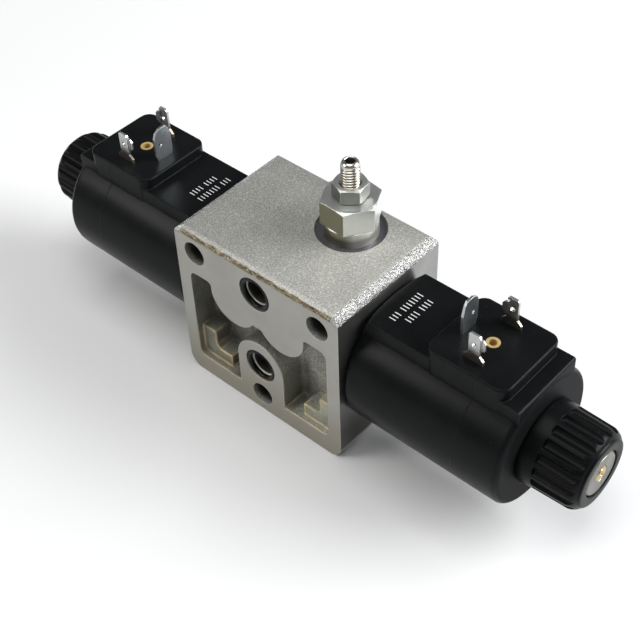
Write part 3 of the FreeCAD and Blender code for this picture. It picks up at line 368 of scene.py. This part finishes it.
def hexes():
    """Zinc plated hexagons of the cartridge: drawn bar flats, faced tops with turning rings."""
    m = Mat("zinc_plate")
    x, y, z = m.xyz()
    g = m.node("NewGeometry")
    nrm = m.node("SeparateXYZ")
    vt = m.node("VectorTransform", vector_type="NORMAL", convert_from="WORLD", convert_to="OBJECT")
    m.put(vt.inputs[0], g.outputs["True Normal"])
    m.put(nrm.inputs[0], vt.outputs[0])
    nx, ny, nz = nrm.outputs[0], nrm.outputs[1], nrm.outputs[2]
    up = m.step(nz, 0.55, 0.75)
    south_painted_shade = m.mul(m.step(ny, -0.80, -0.93), m.inv(up))
    east_painted_light = m.mul(m.step(nx, 0.55, 0.75), m.inv(up))
    f = m.noise(420.0, 4.0, 0.55, stretch=(1.0, 1.0, 5.0))
    b = m.noise(130.0, 4.0, 0.55)
    streak = m.noise(2600.0, 3.0, 0.6, stretch=(1.0, 1.0, 0.06))
    pit = m.noise(1500.0, 4.0, 0.65)
    col = m.ramp(m.mixf(0.45, streak, m.mixf(0.5, f, b)), [(0.34, (0.40, 0.405, 0.368)), (0.52, (0.53, 0.535, 0.495)), (0.68, (0.64, 0.645, 0.61))])
    # painted shade: the south-facing flats darker and olive
    col = m.mixc(m.math("MULTIPLY", south_painted_shade, 0.95), col, (0.205, 0.195, 0.130))
    # painted light: the east-facing flats lighter
    col = m.mixc(m.math("MULTIPLY", east_painted_light, 0.75), col, (0.83, 0.85, 0.81))
    col = m.mixc(m.math("MULTIPLY", up, 0.6), col, (0.72, 0.735, 0.70))
    nutz = m.mul(m.step(z, 0.0748, 0.0750), m.inv(up))
    col = m.mixc(m.math("MULTIPLY", nutz, 0.85), col, (0.205, 0.208, 0.200))
    low = m.step(z, 0.0668, 0.0660)
    col = m.mixc(m.math("MULTIPLY", low, 0.35), col, (0.42, 0.39, 0.30))
    # lighter edges, partly wear and partly painted highlight
    edge = m.edge(0.0003, 0.985, 0.88)
    col = m.mixc(m.math("MULTIPLY", edge, 0.6), col, (0.84, 0.82, 0.74))
    m.set("Base Color", col)
    m.set("Metallic", m.mixf(east_painted_light, 0.95, 0.80))
    m.set("Roughness", m.mixf(m.mixf(0.5, f, b), 0.24, 0.34))
    ring = m.math("SINE", m.math("MULTIPLY", m.radial(CX, CY, (0, 1)), 6.2832 / 0.00032))
    n = m.bump(f, 0.04, 0.0001, m.bevel(0.00028))
    n = m.bump(ring, m.math("MULTIPLY", up, 0.35), 0.00005, n)
    n = m.bump(streak, m.math("MULTIPLY", m.inv(up), 0.30), 0.00004, n)
    n = m.bump(pit, m.math("MULTIPLY", up, 0.45), 0.00008, n)
    m.set("Normal", n)
    return m.m


def blades():
    """Tinned tongues: bright above, dark brown and less metallic towards the foot, bare edges that also carry a
    painted highlight.
    """
    m = Mat("tinned_blade")
    x, y, z = m.xyz()
    f = m.noise(500.0, 5.0, 0.6, stretch=(1.0, 1.0, 6.0))
    b = m.noise(150.0, 4.0, 0.55)
    col = m.ramp(m.mixf(0.5, f, b), [(0.3, (0.44, 0.45, 0.45)), (0.7, (0.62, 0.63, 0.62))])
    zz = m.math("ADD", z, m.math("MULTIPLY", m.math("SUBTRACT", b, 0.5), 0.0016))
    ground = m.step(m.math("ABSOLUTE", x), 0.0640, 0.0630)
    foot = m.mul(m.step(zz, 0.0640, 0.0628), m.inv(ground))
    col = m.mixc(m.math("MULTIPLY", ground, 0.6), col, (0.33, 0.385, 0.43))
    col = m.mixc(m.math("MULTIPLY", foot, 0.88), col, (0.075, 0.055, 0.038))
    t = m.step(m.noise(260.0, 3.0, 0.6), 0.52, 0.66)
    col = m.mixc(m.math("MULTIPLY", t, 0.22), col, (0.42, 0.34, 0.22))
    # bright edges: bare metal with a painted highlight
    edge = m.edge(0.00014, 0.985, 0.86)
    col = m.mixc(m.math("MULTIPLY", edge, 0.85), col, (0.86, 0.83, 0.74))
    m.set("Base Color", col)
    m.set("Metallic", m.mixf(foot, 0.95, 0.80))
    m.set("Roughness", m.mixf(m.mixf(0.5, f, b), 0.22, 0.36))
    m.set("Normal", m.bump(f, 0.04, 0.0001, m.bevel(0.00013)))
    return m.m


def thread_metal():
    """Bright plated screw thread with a gold cast in the roots."""
    m = Mat("bright_steel")
    r = m.radial(CX, CY, (0, 1))
    f = m.noise(700.0, 4.0, 0.6)
    z = m.xyz()[2]
    root = m.mul(m.step(r, 0.00290, 0.00255), m.step(z, SCREW_TOP - 0.0012, SCREW_TOP - 0.0016))
    socket = m.mul(m.step(r, 0.00182, 0.00166), m.step(z, SCREW_TOP - 0.0001, SCREW_TOP - 0.0003), m.step(z, SCREW_TOP - 0.0034, SCREW_TOP - 0.0031))
    col = m.ramp(f, [(0.3, (0.50, 0.485, 0.44)), (0.7, (0.70, 0.685, 0.64))])
    col = m.mixc(m.math("MULTIPLY", root, 0.70), col, (0.30, 0.215, 0.095))
    # painted shade inside the hexagon socket
    col = m.mixc(m.math("MULTIPLY", socket, 0.9), col, (0.05, 0.042, 0.032))
    m.set("Base Color", col)
    m.set("Metallic", 1.0)
    m.set("Roughness", m.mixf(f, 0.12, 0.28))
    m.set("Normal", m.bump(f, 0.10, 0.0001))
    return m.m


def rubber():
    m = Mat("black_rubber")
    f = m.noise(1300.0, 4.0, 0.6)
    m.set("Base Color", m.ramp(m.noise(160.0, 4.0, 0.5), [(0.3, (0.0032, 0.0032, 0.0036)), (0.7, (0.0055, 0.0055, 0.0062))]))
    m.set("Roughness", m.mixf(f, 0.20, 0.30))
    m.set("Specular IOR Level", 0.16)
    m.set("Normal", m.bump(f, 0.12, 0.0001))
    return m.m


def turned(name, centre, axes, c_lo, c_hi, rough, pitch, amt, metallic=1.0, round_edge=0.0):
    """Faced or turned metal: fine rings about an axis."""
    m = Mat(name)
    r = m.radial(centre[0], centre[1], axes)
    wob = m.math("MULTIPLY", m.noise(300.0, 3.0, 0.5), 0.00008)
    ring = m.math("SINE", m.math("MULTIPLY", m.math("ADD", r, wob), 6.2832 / pitch))
    f = m.noise(500.0, 4.0, 0.6)
    col = m.ramp(m.mixf(0.5, f, m.noise(90.0, 4.0, 0.5)), [(0.3, c_lo), (0.7, c_hi)])
    m.set("Base Color", col)
    m.set("Metallic", metallic)
    m.set("Roughness", m.mixf(f, rough - 0.06, rough + 0.10))
    m.set("Normal", m.bump(ring, amt, 0.00004, m.bump(f, 0.06, 0.0001, m.bevel(round_edge) if round_edge else None)))
    return m.m


ax_z = 0.033
SEAM = 0.0745
M = {
    "plated_casting": casting(),
    "black_rubber": rubber(),
    "ground_steel": metal("ground_steel", (0.50, 0.50, 0.50), (0.64, 0.64, 0.64), 0.22, 900.0),
    "spring_steel": metal("spring_steel", (0.33, 0.33, 0.34), (0.47, 0.47, 0.48), 0.30, 1200.0),
    "turned_steel": turned("turned_steel", (0.0, ax_z), (1, 2), (0.165, 0.161, 0.146), (0.245, 0.239, 0.218), 0.30, 0.00042, 0.6, round_edge=0.0002),
    "brass": turned("brass", (0.0, ax_z), (1, 2), (0.45, 0.32, 0.12), (0.63, 0.48, 0.22), 0.24, 0.0005, 0.20),
    "moulded_black": plastic("moulded_black", (0.0042, 0.0048, 0.0050), 0.29, 0.0005, 0.085, SEAM),
    "knob_black": plastic("knob_black", (0.0036, 0.0039, 0.0042), 0.28, 0.00025, 0.070),
    "bobbin_plastic": plastic("bobbin_plastic", (0.05, 0.05, 0.052), 0.5),
    "copper_wire": metal("copper_wire", (0.45, 0.19, 0.08), (0.66, 0.32, 0.16), 0.3, 500.0, (12.0, 1.0, 1.0), 0.4),
    "yoke_steel": metal("yoke_steel", (0.22, 0.22, 0.23), (0.34, 0.34, 0.35), 0.45, 400.0),
    "tinned_blade": blades(),
    "zinc_plate": hexes(),
    "bright_steel": thread_metal(),
}
SLOT = {s["node"]: s["material_slot"] for s in frame["record"]["subparts"]}


def paint(obj, mat):
    if not obj.data.materials:
        obj.data.materials.append(mat)
    for i in range(len(obj.data.materials)):
        obj.data.materials[i] = mat
        if i < len(obj.material_slots):
            obj.material_slots[i].material = mat


for n, o in NODES.items():
    paint(o, M[SLOT[n]])

# the connector inserts stand upright, so their rings run about their own axis
for side, sx in (("right", 1), ("left", -1)):
    n = "connector_insert_" + side
    a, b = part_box(n)
    paint(NODES[n], turned("insert_brass_" + side, ((a[0] + b[0]) / 2, (a[1] + b[1]) / 2), (0, 1), (0.66, 0.45, 0.15), (0.92, 0.70, 0.32), 0.2, 0.0003, 0.2, 0.65))


# ------------------------------------------------------------------ mesh helpers

def make(name, verts, faces, mat, body, smooth=True, nodes=()):
    me = bpy.data.meshes.new(name)
    me.from_pydata([tuple(map(float, v)) for v in verts], [], [tuple(map(int, f)) for f in faces])
    me.validate()
    ob = bpy.data.objects.new(name, me)
    bpy.context.collection.objects.link(ob)
    bm = bmesh.new()
    bm.from_mesh(me)
    bmesh.ops.recalc_face_normals(bm, faces=bm.faces)
    bm.to_mesh(me)
    bm.free()
    me.materials.append(mat)
    for p in me.polygons:
        p.use_smooth = smooth
    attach(ob, body)
    if nodes:
        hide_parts(*nodes)
    return ob


def lathe_x(rows, n, side, radius_of=None):
    """A closed turned skin about the spool axis. rows are (x, r) in mm, outside then back inside.
    radius_of(x, r, angle, row index) may shape the radius."""
    th = np.arange(n) * 2 * np.pi / n
    k = len(rows)
    verts = np.zeros((k * n, 3))
    for i, (x, r) in enumerate(rows):
        rr = np.full(n, r) if radius_of is None else radius_of(x, r, th, i)
        verts[i * n:(i + 1) * n, 0] = x * side
        verts[i * n:(i + 1) * n, 1] = rr * np.cos(th) * side
        verts[i * n:(i + 1) * n, 2] = rr * np.sin(th) + ax_z * 1000
    faces = []
    for i in range(k):
        j = (i + 1) % k
        for a in range(n):
            b = (a + 1) % n
            faces.append((i * n + a, i * n + b, j * n + b, j * n + a))
    return verts * MM, faces


# ring nuts: flutes with rounded ends, a rounded nose and a turned-in face
FLUTES = 18
FLUTE_R, FLUTE_D = 1.75, 13.9                                   # mm, arc radius and its distance from the axis


def knob_radius(x, r, th, i):
    if r < 9.5 or x < 95.3:
        return np.full_like(th, r)
    pitch = 2 * np.pi / FLUTES
    ph = (th - np.pi / 2 + pitch / 2) % pitch - pitch / 2       # angle from the nearest flute's middle
    s2 = FLUTE_R ** 2 - (FLUTE_D * np.sin(ph)) ** 2
    rho = np.where(s2 > 0, FLUTE_D * np.cos(ph) - np.sqrt(np.maximum(s2, 0)), 99.0)
    start = np.clip((x - 95.45) / 0.55, 0, 1)
    rho = rho + (1 - start) * 1.6
    k = 0.16                                                     # crest rounding
    h = np.clip(0.5 + 0.5 * (rho - r) / k, 0, 1)
    out = rho * (1 - h) + r * h - k * h * (1 - h)
    return np.where(rho > 50, r, np.minimum(out, r))


for side, sx in (("right", 1), ("left", -1)):
    rows = [(90.3, 11.7), (90.3, 13.3)]
    for a in np.linspace(0, math.pi / 2, 6)[1:]:
        rows.append((90.8 - 0.5 * math.cos(a), 13.35 + 0.5 * math.sin(a)))
    rows += [(91.6, 13.82), (92.6, 13.76), (94.0, 13.66), (94.8, 13.58)]
    for x in np.arange(95.3, 96.25, 0.09):
        rows.append((x, 13.53 - (x - 95.3) * 0.0255))
    for x in np.arange(96.6, 106.3, 0.6):
        rows.append((x, 13.53 - (x - 95.3) * 0.0255))
    for a in np.linspace(0, 1.18, 20):
        rows.append((106.4 + 3.55 * math.sin(a) ** 1.08, 13.24 - 3.1 * (1 - math.cos(a))))
    rows += [(110.1, 11.16), (110.24, 10.98), (110.34, 10.78), (110.4, 10.5), (110.4, 9.6), (110.4, 8.15), (110.37, 7.9), (110.25, 7.72), (109.9, 7.62), (109.6, 7.6), (104.4, 7.6), (104.3, 7.7), (104.3, 9.0),
             (104.2, 9.05), (91.5, 9.05), (91.45, 9.1), (91.45, 11.6), (91.4, 11.7)]
    v, f = lathe_x(rows, 864, sx, knob_radius)
    make("ring_nut_skin_" + side, v, f, M["knob_black"], "ring_nut_" + side, nodes=["ring_nut_" + side])

# adjusting screw: a real helical thread, a domed nose and a hexagon socket
def screw():
    cx, cy = CX * 1000, CY * 1000
    a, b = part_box("adjusting_screw")
    z0, z1 = a[2] * 1000, b[2] * 1000
    n = 96
    pitch, depth = 1.0, 0.56
    zs = [z0 + 0.3]
    rows = []
    # smooth shank below, thread above
    for z in np.arange(z0 + 0.3, z1 - 1.45, 0.06):
        rows.append(z)
    th = np.arange(n) * 2 * np.pi / n
    verts, faces = [], []
    ring = []

    def add(z, r):
        i = len(verts)
        r = np.broadcast_to(r, (n,))
        for k in range(n):
            verts.append((cx + r[k] * math.cos(th[k]), cy + r[k] * math.sin(th[k]), z))
        ring.append(i)

    verts.append((cx, cy, z0))
    add(z0, 2.1)
    add(z0 + 0.2, 2.4)
    for z in rows:
        ph = ((z / pitch - th / (2 * np.pi)) % 1.0)
        tri = np.abs(ph - 0.5) * 2
        prof = np.clip((tri - 0.12) / 0.76, 0, 1)
        fade = np.clip((z1 - 1.5 - z) / 0.9, 0, 1) * np.clip((z - z0 - 0.6) / 1.0, 0, 1)
        add(z, 2.99 - depth * prof * fade - (1 - np.clip((z1 - 1.4 - z) / 0.5, 0, 1)) * 0.05)
    zt = z1 - 1.45
    for aa in np.linspace(0.12, 1.25, 9):
        add(zt + 1.45 * math.sin(aa) / math.sin(1.25) * 1.0, 1.55 + 1.40 * math.cos(aa) / math.cos(0.0) * 1.0 if aa < 1.2 else 1.98)
    # socket rim and hexagonal hole
    hexr = 1.5 / np.cos((th + np.pi / 6) % (np.pi / 3) - np.pi / 6)
    add(z1, np.full(n, 1.92))
    add(z1 - 0.02, hexr + 0.12)
    add(z1 - 0.16, hexr)
    add(z1 - 2.9, hexr)
    verts.append((cx, cy, z1 - 3.3))
    last = len(verts) - 1
    for k in range(n):
        faces.append((0, ring[0] + (k + 1) % n, ring[0] + k))
    for i in range(len(ring) - 1):
        p, q_ = ring[i], ring[i + 1]
        for k in range(n):
            faces.append((p + k, p + (k + 1) % n, q_ + (k + 1) % n, q_ + k))
    for k in range(n):
        faces.append((ring[-1] + k, ring[-1] + (k + 1) % n, last))
    return make("adjusting_screw_thread", np.array(verts) * MM, faces, M["bright_steel"], "adjusting_screw", nodes=["adjusting_screw"])


screw()

# springs: copies of the spring meshes, the relief spring cut into a lower and an upper half at its middle
def spring_copy(node, name, keep_above=None, keep_below=None):
    src = NODES[node]
    bpy.context.view_layer.update()
    me = src.data.copy()
    me.name = name
    me.transform(src.matrix_world)
    at = keep_above if keep_above is not None else keep_below
    if at is not None:
        bm = bmesh.new()
        bm.from_mesh(me)
        bmesh.ops.remove_doubles(bm, verts=bm.verts, dist=1e-7)
        geom = bm.verts[:] + bm.edges[:] + bm.faces[:]
        cut = bmesh.ops.bisect_plane(bm, geom=geom, dist=1e-8, plane_co=(0, 0, at), plane_no=(0, 0, 1),
                                     clear_inner=keep_above is not None, clear_outer=keep_below is not None)
        rim = [e for e in cut["geom_cut"] if isinstance(e, bmesh.types.BMEdge)]
        bmesh.ops.holes_fill(bm, edges=rim, sides=0)
        bmesh.ops.recalc_face_normals(bm, faces=bm.faces)
        bm.to_mesh(me)
        bm.free()
    ob = bpy.data.objects.new(name, me)
    bpy.context.collection.objects.link(ob)
    for p in me.polygons:
        p.use_smooth = True
    return ob


for side, sx in (("right", 1), ("left", -1)):
    lo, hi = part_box("centring_spring_" + side)
    ob = spring_copy("centring_spring_" + side, "centring_spring_live_" + side)
    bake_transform(ob)
    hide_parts("centring_spring_" + side)
lo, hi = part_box("relief_spring")
mid = (lo[2] + hi[2]) / 2
ob = spring_copy("relief_spring", "relief_spring_lower", keep_below=mid)
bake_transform(ob)
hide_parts("relief_spring")
ob = spring_copy("relief_spring", "relief_spring_upper", keep_above=mid)
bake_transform(ob)
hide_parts("relief_spring")

# plain printed bars on each label flat, in place of the rating
white = Mat("label_paint")
white.set("Base Color", white.ramp(white.noise(900.0, 4.0, 0.6), [(0.3, (0.50, 0.51, 0.51)), (0.7, (0.68, 0.68, 0.67))]))
white.set("Roughness", white.mixf(white.noise(600.0, 3.0, 0.5), 0.45, 0.6))
white.set("Normal", white.bump(white.noise(2500.0, 2.0, 0.5), 0.2, 0.00005))


def bars(side, sx):
    verts, faces = [], []

    def bar(x0, x1, y0, y1, z0, z1):
        i = len(verts)
        for z in (z0, z1):
            for x, y in ((x0, y0), (x1, y0), (x1, y1), (x0, y1)):
                verts.append((sx * x, sx * y, z))
        faces.extend([(i, i + 3, i + 2, i + 1), (i + 4, i + 5, i + 6, i + 7), (i, i + 1, i + 5, i + 4), (i + 1, i + 2, i + 6, i + 5), (i + 2, i + 3, i + 7, i + 6), (i + 3, i, i + 4, i + 7)])

    top = 56.0
    for row, (xc, y) in enumerate(((44.9, -5.6), (40.9, -7.9))):
        strokes = [2.3, 2.1, 2.3, 2.3, 0, 2.3, 2.0, 2.3, 2.1] if row == 0 else [2.3, 2.1, 2.3, 0, 2.3, 2.3, 2.1, 2.3, 2.3, 2.1, 2.3]
        for h in strokes:
            if h:
                bar(xc - h / 2, xc + h / 2, y, y + 0.30, top - 0.01, top + 0.03)
            y += 1.32 if h else 1.1
    me = make("label_bars_" + side, np.array(verts) * MM, faces, white.m, "coil_" + side, smooth=False)
    return me


for side, sx in (("right", 1), ("left", -1)):
    bars(side, sx)

# ------------------------------------------------------------------ stage, light, camera
floor_me = bpy.data.meshes.new("floor")
S = 60.0
floor_me.from_pydata([(-S, -S, 0), (S, -S, 0), (S, S, 0), (-S, S, 0)], [], [(0, 1, 2, 3)])
floor = bpy.data.objects.new("floor", floor_me)
floor.location = (0, 0, -0.0002)
bpy.context.collection.objects.link(floor)
fm = Mat("floor_paper")
fm.set("Base Color", fm.ramp(fm.noise(3.0, 3.0, 0.5), [(0.3, (0.70, 0.70, 0.70)), (0.7, (0.735, 0.735, 0.735))]))
fm.set("Roughness", 0.9)
floor_me.materials.append(fm.m)

world = bpy.data.worlds.new("studio")
bpy.context.scene.world = world
world.use_nodes = True
bg = world.node_tree.nodes["Background"]
bg.inputs[0].default_value = (0.93, 0.96, 1.0, 1.0)
bg.inputs[1].default_value = 0.22


def area(name, loc, target, size, power, colour=(1, 1, 1), size_y=None):
    l = bpy.data.lights.new(name, "AREA")
    l.energy = power
    l.color = colour
    l.shape = "RECTANGLE"
    l.size = size
    l.size_y = size_y or size
    o = bpy.data.objects.new(name, l)
    o.location = loc
    d = Vector(target) - Vector(loc)
    o.rotation_euler = d.to_track_quat("-Z", "Y").to_euler()
    bpy.context.collection.objects.link(o)
    return o


area("key", (0.80, 0.62, 0.62), (0.03, 0, 0.03), 0.75, 20.0, (0.98, 0.99, 1.0), 0.6)
area("front", (-0.75, -0.95, 0.75), (0, 0, 0.03), 0.6, 8.0, (1.0, 0.98, 0.95), 0.5)
area("top", (0.0, -0.15, 1.3), (0, 0, 0.0), 0.9, 9.0, (1.0, 1.0, 1.0), 0.9)

cam = bpy.data.cameras.new("camera")
cam_o = bpy.data.objects.new("camera", cam)
bpy.context.collection.objects.link(cam_o)
R = Vector((0.7494680741582157, 0.6614211037059124, -0.028630916681585263))
U = Vector((-0.4541120731507806, 0.545069280560793, 0.7047564858925668))
Fw = Vector((-0.48174664590038957, 0.5151908413019318, -0.7088713326142709))
rot = Matrix(((R.x, U.x, -Fw.x), (R.y, U.y, -Fw.y), (R.z, U.z, -Fw.z)))
cam_o.matrix_world = Matrix.Translation((0.20376770182360065, -0.2127172432935532, 0.31900264420565907)) @ rot.to_4x4()
cam.sensor_width = 36.0
cam.sensor_fit = "HORIZONTAL"
cam.lens = 1276.9119417926397 / 640.0 * 36.0
cam.clip_start = 0.01
bpy.context.scene.camera = cam_o

bpy.context.scene.view_settings.view_transform = "Standard"
